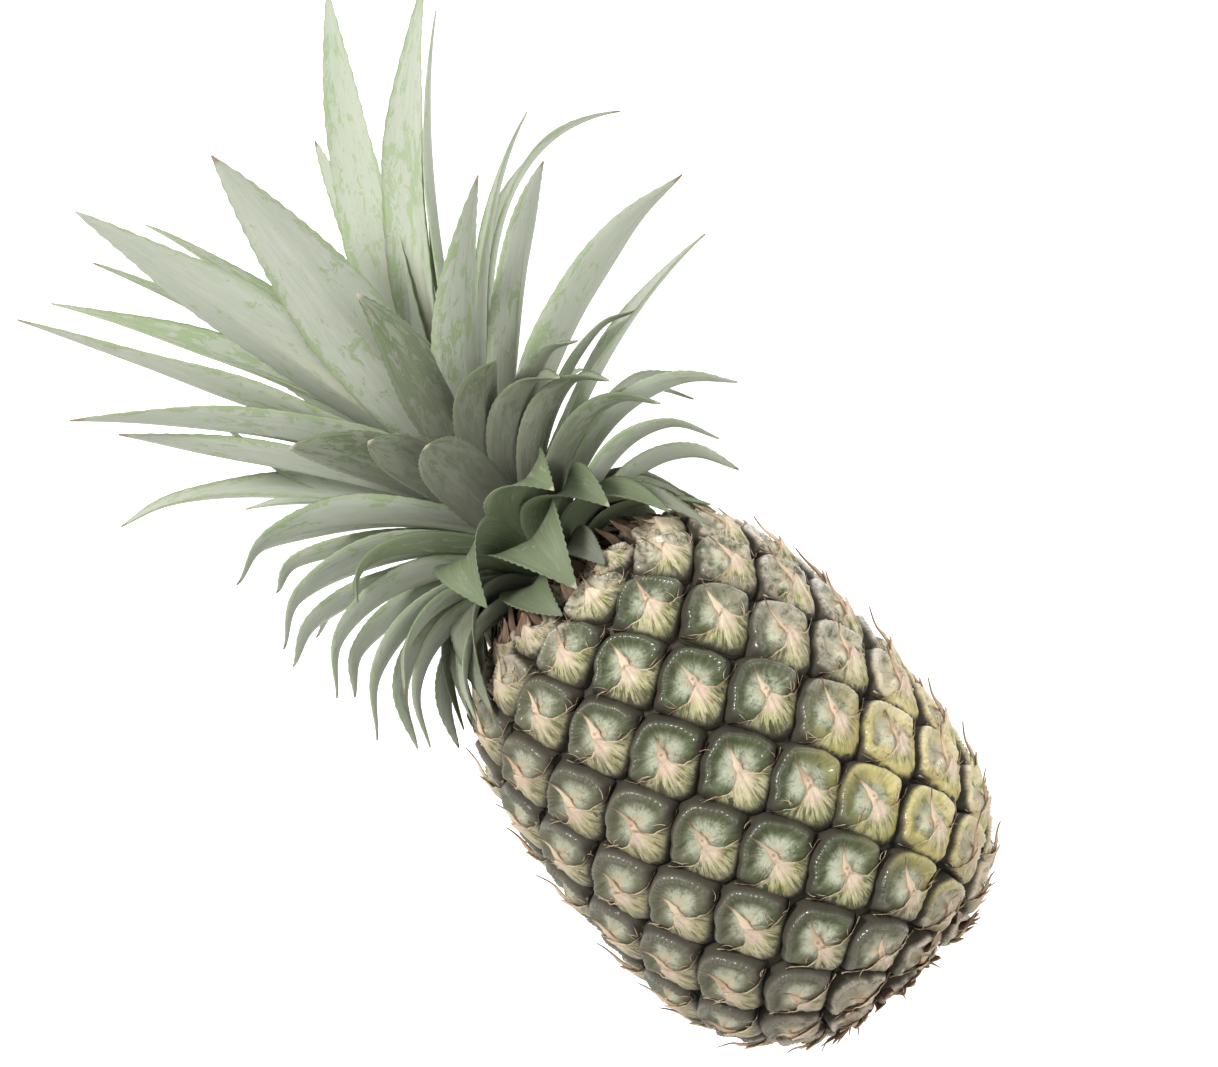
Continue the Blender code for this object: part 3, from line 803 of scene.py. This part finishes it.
    def add_sheet(self, pile, eye, up, side, height, thick, along, across, seed, share=0.1, local=0.0):
        """Puts a grid of (up, side, height) over the eye and closes it with the same grid a little lower."""
        reach, turn, lean, _ = eye
        radius = float(barrel_at(reach)[1])
        ahead = up * math.cos(lean) - side * math.sin(lean)
        round_it = up * math.sin(lean) + side * math.cos(lean)
        place = (reach + ahead, turn + round_it / radius)
        upper = skin_points(*place, height).reshape(-1, 3)
        lower = skin_points(*place, height - thick).reshape(-1, 3)
        values = vectors(along, across, seed)
        form = vectors(share + 0.0 * along, local / math.pi, 0.0)
        doubled = [np.concatenate([item.reshape(-1, 3)] * 2) for item in (values, form, eye_tones_and_painted_light(*place))]
        pile.add(
            np.concatenate([upper, lower]), sheet_faces(*up.shape).tolist(),
            bract=doubled[0], form=doubled[1], tone=doubled[2],
        )


# ---------------------------------------------------------------- stalk and stem

def stalk_look():
    look = Look("cut_stalk")
    place = look.place()
    grain = look.noise(place, 1100.0, 4.0, 0.7)
    broad = look.noise(place, 150.0, 3.0)
    cells = look.node("ShaderNodeTexVoronoi", {"feature": "F1"}, {"Vector": place, "Scale": 620.0})
    dots = look.band(cells, 0.32, 0.16)
    colour = look.layers(
        (0.44, 0.33, 0.17), (broad, (0.30, 0.20, 0.10)), (dots * 0.7, (0.62, 0.50, 0.30)),
        (look.band(grain, 0.55, 0.75) * 0.5, (0.16, 0.10, 0.06)),
    )
    return look.surface(Base_Color=colour, Roughness=0.85, Normal=look.bump(grain + dots, 0.6, 0.0008))


def stem_look():
    look = Look("crown_stem")
    place = look.place()
    grain = look.noise(place, 700.0, 4.0, 0.6)
    broad = look.noise(place, 120.0, 3.0)
    rough = look.band(grain, 0.5, 0.75) * 0.6
    colour = look.layers((0.22, 0.24, 0.13), (broad, (0.12, 0.12, 0.07)), (rough, (0.07, 0.06, 0.04)))
    return look.surface(Base_Color=colour, Roughness=0.8, Normal=look.bump(grain, 0.5, 0.001))


class PINEAPPLE_OT_stalk(bpy.types.Operator):
    """Builds the cut end of the stalk"""

    bl_idname = "pineapple.stalk"
    bl_label = "Stalk"

    def execute(self, context):
        stations = (
            (-146.9, 0.4), (-146.9, 11.0), (-148.0, 11.5), (-148.9, 11.4), (-149.5, 10.8), (-149.6, 9.6),
            (-149.3, 8.2), (-149.55, 6.6), (-149.2, 4.8), (-149.5, 3.0), (-149.3, 1.4), (-149.4, 0.3),
        )
        piece = turned_piece("stalk_end", stations, 96, stalk_look(), 0.012)
        rides(piece, "stalk", "cut_stalk")
        return {"FINISHED"}


class PINEAPPLE_OT_stem(bpy.types.Operator):
    """Builds the core of the crown"""

    bl_idname = "pineapple.stem"
    bl_label = "Crown stem"

    def execute(self, context):
        line, _ = fine_profile(STEM_PROFILE)
        stations = [(7.6, 0.4), (7.6, 13.6), *line[::3], (76.3, 0.2)]
        piece = turned_piece("stem_core", stations, 64, stem_look(), 0.02)
        rides(piece, "stem", "crown_stem")
        return {"FINISHED"}


# ---------------------------------------------------------------- leaves

WIDEST_AT = 0.42
BASE_WIDTH = 0.62
TIP_WIDTH = 0.5
CHANNEL = 0.22
BLADE_ROWS = 46
BLADE_COLUMNS = (-1.0, -0.9, -0.74, -0.55, -0.35, -0.17, -0.06, 0.0, 0.06, 0.17, 0.35, 0.55, 0.74, 0.9, 1.0)

# How much bare green shows on leaves that differ from their group.
BARE_LEAVES = {
    "inner_leaf_01": 0.42, "inner_leaf_02": 0.55, "inner_leaf_04": 0.26, "inner_leaf_05": 0.15, "inner_leaf_06": 0.9,
    "inner_leaf_07": 0.6, "inner_leaf_08": 0.85, "inner_leaf_10": 0.95, "inner_leaf_11": 0.5, "side_leaf_15": 1.0,
}


def leaf_look(name, settings):
    """Leaf surface: silvery bloom over green, rubbed in patches, painted shade darkening the foot, brown at the very
    tip.
    """
    look = Look(name)
    share, across, seed = look.attribute("blade")
    bare, pale, length = look.attribute("leaf")
    place = look.place()
    reach = share * length
    fine = look.noise(place, 1800.0, 3.0, 0.7)
    veins = look.noise(look.vector(across * 26.0, reach * 3.0, seed * 31.0), 1.6, 3.0, 0.6)
    streaks = look.noise(look.vector(across * 5.0, reach * 6.0, seed * 13.0), 1.5, 4.0, 0.6)
    rubbed = look.noise(look.vector(across * 3.4, reach * 13.0, seed * 47.0), 1.0, 6.0, 0.74, 0.7)
    blotch = look.noise(place, 42.0, 2.0)
    threshold = rubbed + blotch * 0.35 + look.band(abs(across), 0.72, 1.0) * 0.10
    mask = look.band(threshold + bare * 0.20, 0.80, 0.85)
    bloom = look.layers(
        tuple(0.82 * part for part in settings.bloom_colour),
        (veins, tuple(1.12 * part for part in settings.bloom_colour)),
        (look.band(streaks, 0.42, 0.66) * 0.6, (0.42, 0.42, 0.375)),
    )
    deep_green = look.blend(look.band(veins, 0.4, 0.7), (0.100, 0.136, 0.062), (0.185, 0.225, 0.125))
    # painted shade: each leaf darkens towards its foot deep in the rosette, less on pale leaves and bare green ones
    foot = look.band(reach + streaks * 0.10 + pale * 0.60, 0.80, 0.26) * (0.92 - look.band(bare, 0.9, 1.0) * 0.55)
    keel = look.band(abs(across - 0.1), 0.35, 0.0) * look.band(share, 0.55, 0.15) * look.band(pale, 0.5, 0.7)
    colour = look.layers(
        bloom,
        (mask * (0.72 + bare * 0.2), look.blend(veins, tuple(settings.green_colour), (0.29, 0.36, 0.19))),
        (look.band(abs(across) + fine * 0.06, 0.93, 1.0) * 0.6, (0.27, 0.33, 0.18)),
        # paleness, partly painted light: outer leaves lightened as if better lit, leaves low in the rosette darkened;
        # the deep green is also the fresh leaves' own colour
        (look.band(pale, 0.55, 1.0) * 0.6, look.blend(mask, (0.425, 0.46, 0.36), (0.33, 0.41, 0.235))),
        (look.band(pale, 0.62, 0.0) * 0.85, look.blend(mask, (0.245, 0.262, 0.182), deep_green)),
        # painted shade laid over the leaf's foot
        (foot, look.blend(streaks, tuple(settings.shade_colour), (0.225, 0.235, 0.175))),
        (keel * 0.5, (0.62, 0.60, 0.42)),
        (look.band(share + fine * 0.02, 0.975, 0.995) * look.band(seed, 0.25, 0.35),
         look.blend(look.band(bare, 0.6, 0.7), (0.26, 0.19, 0.12), (0.42, 0.38, 0.26))),
    )
    return look.surface(
        Base_Color=colour, Roughness=0.62 - mask * 0.14, Specular_IOR_Level=0.4,
        Normal=look.bump(veins * 0.8 + fine * 0.35 - mask * 0.3, 0.4, 0.0006),
    )


def leaf_frames(leaf, shares, start):
    """Centre line, side, inward face and turn of a leaf at these shares of its length, in mm and mm directions."""
    around, base, mid_along, mid_out, tip_along, tip_out, _, swing, roll, _, hook = leaf
    foot_out = np.interp(base, *zip(*STEM_PROFILE)) + start
    bend_along = mid_along * 2 - (base + tip_along) * 0.5
    bend_out = mid_out * 2 - (foot_out + tip_out) * 0.5

    def centre(share):
        back = 1.0 - share
        along = back ** 2 * base + 2 * back * share * bend_along + share ** 2 * tip_along
        out = back ** 2 * foot_out + 2 * back * share * bend_out + share ** 2 * tip_out
        turn = np.radians(around + swing * share * share)
        curl = hook * smooth(0.72, 1.0, share) ** 2
        along = along - curl
        return vectors(along, -out * np.sin(turn), out * np.cos(turn)), turn

    points, turn = centre(shares)
    forward = centre(np.minimum(shares + 0.01, 1.0))[0] - centre(np.maximum(shares - 0.01, 0.0))[0]
    forward /= np.linalg.norm(forward, axis=1, keepdims=True)
    side = vectors(0.0, -np.cos(turn), -np.sin(turn))
    side -= forward * np.sum(side * forward, axis=1, keepdims=True)
    side /= np.linalg.norm(side, axis=1, keepdims=True)
    face = np.cross(forward, side)
    tilt = np.radians(roll * shares * (2.0 - shares))[:, None]
    return points, side * np.cos(tilt) + face * np.sin(tilt), face * np.cos(tilt) - side * np.sin(tilt), forward


def blade_widths(shares, width, fullness):
    rise = np.sin(np.clip(shares / WIDEST_AT, 0, 1) * math.pi / 2)
    fall = np.clip((shares - WIDEST_AT) / (1 - WIDEST_AT), 0, 1)
    return np.where(
        shares < WIDEST_AT, width * (BASE_WIDTH + (1 - BASE_WIDTH) * rise),
        TIP_WIDTH + (width - TIP_WIDTH) * (1 - fall ** fullness),
    )


def leaf_piece(name, leaf, fullness, bare, material, settings, rng):
    """One channelled blade with a crease, rolled margins and small teeth."""
    shares = np.linspace(0.0, 1.0, BLADE_ROWS) ** 0.92
    centre, side, face, forward = leaf_frames(leaf, shares, -1.5)
    width, pale = leaf[6], leaf[9]
    wide = blade_widths(shares, width * 1.04, fullness)
    length = float(np.sum(np.linalg.norm(np.diff(centre, axis=0), axis=1)))
    share, across = np.meshgrid(shares, BLADE_COLUMNS, indexing="ij")
    lift = CHANNEL * wide[:, None] * (1 - 0.4 * share) * (0.65 * np.abs(across) ** 1.6 + 0.35 * np.abs(across) ** 0.9)
    lift += 0.05 * wide[:, None] * smooth(0.85, 1.0, np.abs(across))
    wave_phase = rng.uniform(0, 6, 3)
    wave = 0.028 * wide[:, None] * across ** 2 * np.sin(share * length / 9.0 + wave_phase[0] + 2 * across)
    wave += 0.02 * wide[:, None] * np.sin(share * length / 17.0 + wave_phase[1]) * across
    spread = across * wide[:, None] * 0.5
    tooth = np.zeros_like(share)
    strength = smooth(0.04, 0.14, shares) * smooth(1.0, 0.93, shares) * settings.tooth_size / MM
    tooth[1::2, 0] = -strength[1::2]
    tooth[1::2, -1] = strength[1::2]
    points = (
        centre[:, None, :] + side[:, None, :] * (spread + tooth)[..., None]
        + face[:, None, :] * (lift + wave)[..., None] + forward[:, None, :] * np.abs(tooth)[..., None] * 0.9
    )
    thick = settings.blade_thickness / MM * (1 - 0.72 * share) * (1 - 0.72 * np.abs(across) ** 1.5) + 0.12
    half = face[:, None, :] * thick[..., None] * 0.5
    upper, lower = points + half, points - half
    blade = vectors(share, across, rng.uniform()).reshape(-1, 3)
    both = np.concatenate([upper.reshape(-1, 3), lower.reshape(-1, 3)]) * MM + np.array(ORIGIN)
    pile = Pile("blade", "leaf")
    pile.add(
        both, sheet_faces(*share.shape).tolist(),
        blade=np.concatenate([blade, blade]), leaf=(bare, pale, length / 100.0),
    )
    return pile.build(name, material)


class PINEAPPLE_OT_leaves(bpy.types.Operator):
    """Builds every leaf of the crown"""

    bl_idname = "pineapple.leaves"
    bl_label = "Leaves"

    def execute(self, context):
        settings = context.scene.pineapple_crown
        rng = np.random.default_rng(5)
        for group, leaves, slot, fullness, bare in LEAF_GROUPS:
            material = leaf_look(group, settings)
            for number, leaf in enumerate(leaves, start=1):
                node = f"{group}_{number:02d}"
                shown = BARE_LEAVES.get(node, bare)
                piece = leaf_piece(f"{node}_blade", leaf, fullness, shown, material, settings, rng)
                rides(piece, slot, node)
        return {"FINISHED"}


# Smaller leaves that only show: slivers behind the long leaves and short ones low in the rosette.
SLIVERS = (
    (-115, 30, 72, 40, 114, 52, 12, 0, 10, 0.5, 0),
    (150, 56, 118, 38, 162, 62, 11, 0, 0, 0.95, 0),
    (20, 12, 14, 28, 4, 38, 13, 0, 0, 0.0, 0),
    (95, 26, 40, 42, 27, 66, 11, 0, 0, 0.6, 3),
    (-58, 15, 26, 40, 17, 66, 12, 0, 10, 0.4, 3),
    (60, 31, 56, 34, 62, 58, 15, 0, -10, 0.2, 3),
)


class PINEAPPLE_OT_neck(bpy.types.Operator):
    """Builds the short leaves round the crown's foot, dark with painted shade, and the slivers between the long leaves
    """

    bl_idname = "pineapple.neck"
    bl_label = "Neck leaves"

    def execute(self, context):
        settings = context.scene.pineapple_crown
        rng = np.random.default_rng(8)
        material = leaf_look("neck_leaf", settings)
        for number, leaf in enumerate(SLIVERS, start=1):
            rides(leaf_piece(f"sliver_{number:02d}", leaf, 1.7, 0.4, material, settings, rng), "crown")
        for number in range(26):
            around = number * 137.5 % 360.0 - 180.0
            if -50.0 < around < 60.0:
                continue
            base = 8.8 + number * 0.22 + rng.uniform(0.0, 0.6)
            tip = (base - 14.0 - rng.uniform(0.0, 6.0), 46.0 + rng.uniform(0.0, 8.0))
            leaf = (around, base, base + 5.5, 32.0, *tip, rng.uniform(13, 17), rng.uniform(-6, 6), 0, 0.1, 1)
            rides(leaf_piece(f"neck_{number + 1:02d}", leaf, 1.8, 0.6, material, settings, rng), "crown")
        return {"FINISHED"}


def dry_look(settings):
    look = Look("dry_scale")
    along, across, seed = look.attribute("bract")
    place = look.place()
    grain = look.noise(place, 900.0, 4.0, 0.7)
    patches = look.noise(place, 220.0, 3.0)
    lines = look.noise(look.vector(across * 9.0, along * 1.5, seed * 17.0), 1.0, 3.0, 0.6)
    colour = look.layers(
        (0.15, 0.085, 0.055),
        (look.band(lines + patches * 0.4, 0.5, 0.9), (0.34, 0.225, 0.145)),
        (look.band(along, 0.45, 0.0) * 0.8, (0.075, 0.05, 0.035)),
        (look.band(along + patches * 0.3, 0.95, 1.15) * 0.8, tuple(settings.straw_colour)),
    )
    return look.surface(Base_Color=colour, Roughness=0.8, Normal=look.bump(lines + grain * 0.5, 0.5, 0.0007))


class PINEAPPLE_OT_scales(bpy.types.Operator):
    """Builds the small dry scales on the shoulder and round the lower rim"""

    bl_idname = "pineapple.scales"
    bl_label = "Dry scales"

    def execute(self, context):
        rng = np.random.default_rng(41)
        material = dry_look(context.scene.pineapple_fruit)
        shoulder, rim = Pile("bract"), Pile("bract")
        top = BARREL_REACH[-1] - REACH_ZERO
        for number in range(58):
            reach = top - 1.5 - 17.0 * rng.uniform() ** 1.2
            self.add_scale(shoulder, reach, number * EYE_TURN, rng.uniform(7, 13), rng.uniform(3.5, 6.5), 6.5, rng)
        for number in range(34):
            reach = 14.0 - REACH_ZERO + rng.uniform(-7, 9)
            self.add_scale(rim, reach, number * EYE_TURN, rng.uniform(6, 11), rng.uniform(3.5, 6.0), 3.2, rng)
        rides(shoulder.build("shoulder_scales", material), "rind")
        rides(rim.build("rim_scales", material), "rind")
        return {"FINISHED"}

    def add_scale(self, pile, reach, turn, length, width, rise, rng):
        """A pointed papery scale that lifts off the skin towards its tip."""
        level, across = np.meshgrid(np.linspace(0, 1, 9), np.linspace(-1, 1, 7), indexing="ij")
        lean = rng.uniform(-0.5, 0.5)
        half = width / 2 * (1 - level ** 1.6) ** 0.9 + 0.08
        up = level * length * (1 - 0.25 * level) - 2.0
        side = across * half + lean * up
        curl = rise * rng.uniform(0.4, 1.1)
        height = -1.6 + curl * level ** 1.3 + 2.4 * smooth(0, 0.3, level) + 0.8 * across ** 2 * (1 - level)
        radius = float(barrel_at(reach)[1])
        place = (reach + up, turn + side / max(radius, 14.0))
        sheets = [skin_points(*place, height - lower).reshape(-1, 3) for lower in (0.0, 0.35)]
        values = vectors(level, across, rng.uniform()).reshape(-1, 3)
        pile.add(np.concatenate(sheets), sheet_faces(*level.shape).tolist(), bract=np.concatenate([values] * 2))


# ---------------------------------------------------------------- stage

FLOOR_REACH, FLOOR_GAP = 6.0, 0.0004
AIM = Vector((0.0101, -0.01995, 0.0))  # from the crown's foot to the middle of the picture
# name, place from the crown's foot in metres, size in metres, power in watts
LIGHTS = (("key_light", (0.9, 0.35, 1.3), 0.35, 24.0), ("fill_light", (-0.8, -0.9, 1.1), 0.9, 6.0))
SENSOR = 36.0


class PINEAPPLE_OT_stage(bpy.types.Operator):
    """Makes the pale surface, the soft lights and the camera"""

    bl_idname = "pineapple.stage"
    bl_label = "Stage"

    def execute(self, context):
        settings = context.scene.pineapple_stage
        self.make_floor(settings)
        self.make_light(settings)
        self.make_camera(settings)
        context.scene.view_settings.view_transform = "Standard"
        return {"FINISHED"}

    def make_floor(self, settings):
        mesh = bpy.data.meshes.new("floor")
        corners = [(x * FLOOR_REACH, y * FLOOR_REACH, 0) for x, y in ((-1, -1), (1, -1), (1, 1), (-1, 1))]
        mesh.from_pydata(corners, [], [(0, 1, 2, 3)])
        floor = bpy.data.objects.new("floor", mesh)
        floor.location.z = -FLOOR_GAP
        bpy.context.scene.collection.objects.link(floor)
        look = Look("floor")
        look.surface(
            Base_Color=(0.8, 0.8, 0.79), Roughness=0.9, Emission_Color=(1.0, 1.0, 0.995),
            Emission_Strength=settings.floor_glow,
        )
        mesh.materials.append(look.material)

    def make_light(self, settings):
        world = bpy.data.worlds.new("even_light")
        world.use_nodes = True
        background = world.node_tree.nodes["Background"]
        background.inputs["Color"].default_value = (1.0, 1.0, 1.0, 1.0)
        background.inputs["Strength"].default_value = settings.sky_light
        bpy.context.scene.world = world
        for name, place, size, energy in LIGHTS:
            data = bpy.data.lights.new(name, "AREA")
            data.size = size
            data.energy = energy
            lamp = bpy.data.objects.new(name, data)
            lamp.location = ORIGIN + Vector(place)
            lamp.rotation_euler = (Vector(place)).to_track_quat("Z", "Y").to_euler()
            bpy.context.scene.collection.objects.link(lamp)

    def make_camera(self, settings):
        angle = settings.fruit_angle
        right = Vector((-math.cos(angle), -math.sin(angle), 0.0))
        up = Vector((math.sin(angle), -math.cos(angle), 0.0))
        data = bpy.data.cameras.new("camera")
        data.sensor_width = SENSOR
        data.lens = SENSOR * settings.camera_height / settings.view_width
        data.clip_end = 20.0
        camera = bpy.data.objects.new("camera", data)
        turn = Matrix((right, up, Vector((0, 0, 1)))).transposed()
        place = ORIGIN + AIM + Vector((0, 0, settings.camera_height))
        camera.matrix_world = Matrix.Translation(place) @ turn.to_4x4()
        bpy.context.scene.collection.objects.link(camera)
        bpy.context.scene.camera = camera


class PINEAPPLE_PT_panel(bpy.types.Panel):
    """Lists the pieces and the stage"""

    bl_idname = "PINEAPPLE_PT_panel"
    bl_label = "Pineapple"
    bl_space_type = "VIEW_3D"
    bl_region_type = "UI"
    bl_category = "Pineapple"

    def draw(self, context):
        scene = context.scene
        for settings in (scene.pineapple_fruit, scene.pineapple_crown, scene.pineapple_stage):
            for name in settings.__annotations__:
                self.layout.prop(settings, name)
        for operator in OPERATORS:
            self.layout.operator(operator.bl_idname)


OPERATORS = (
    PINEAPPLE_OT_barrel,
    PINEAPPLE_OT_eyes,
    PINEAPPLE_OT_bracts,
    PINEAPPLE_OT_stalk,
    PINEAPPLE_OT_stem,
    PINEAPPLE_OT_leaves,
    PINEAPPLE_OT_neck,
    PINEAPPLE_OT_scales,
    PINEAPPLE_OT_stage,
)
SETTINGS = (
    ("pineapple_fruit", FruitSettings),
    ("pineapple_crown", CrownSettings),
    ("pineapple_stage", StageSettings),
)


def register():
    for name, group in SETTINGS:
        bpy.utils.register_class(group)
        setattr(bpy.types.Scene, name, bpy.props.PointerProperty(type=group))
    for item in (*OPERATORS, PINEAPPLE_PT_panel):
        bpy.utils.register_class(item)


def unregister():
    for item in (PINEAPPLE_PT_panel, *reversed(OPERATORS)):
        bpy.utils.unregister_class(item)
    for name, group in reversed(SETTINGS):
        delattr(bpy.types.Scene, name)
        bpy.utils.unregister_class(group)


def main():
    register()
    for operator in OPERATORS:
        family, name = operator.bl_idname.split(".")
        getattr(getattr(bpy.ops, family), name)()


if __name__ == "__main__":
    main()
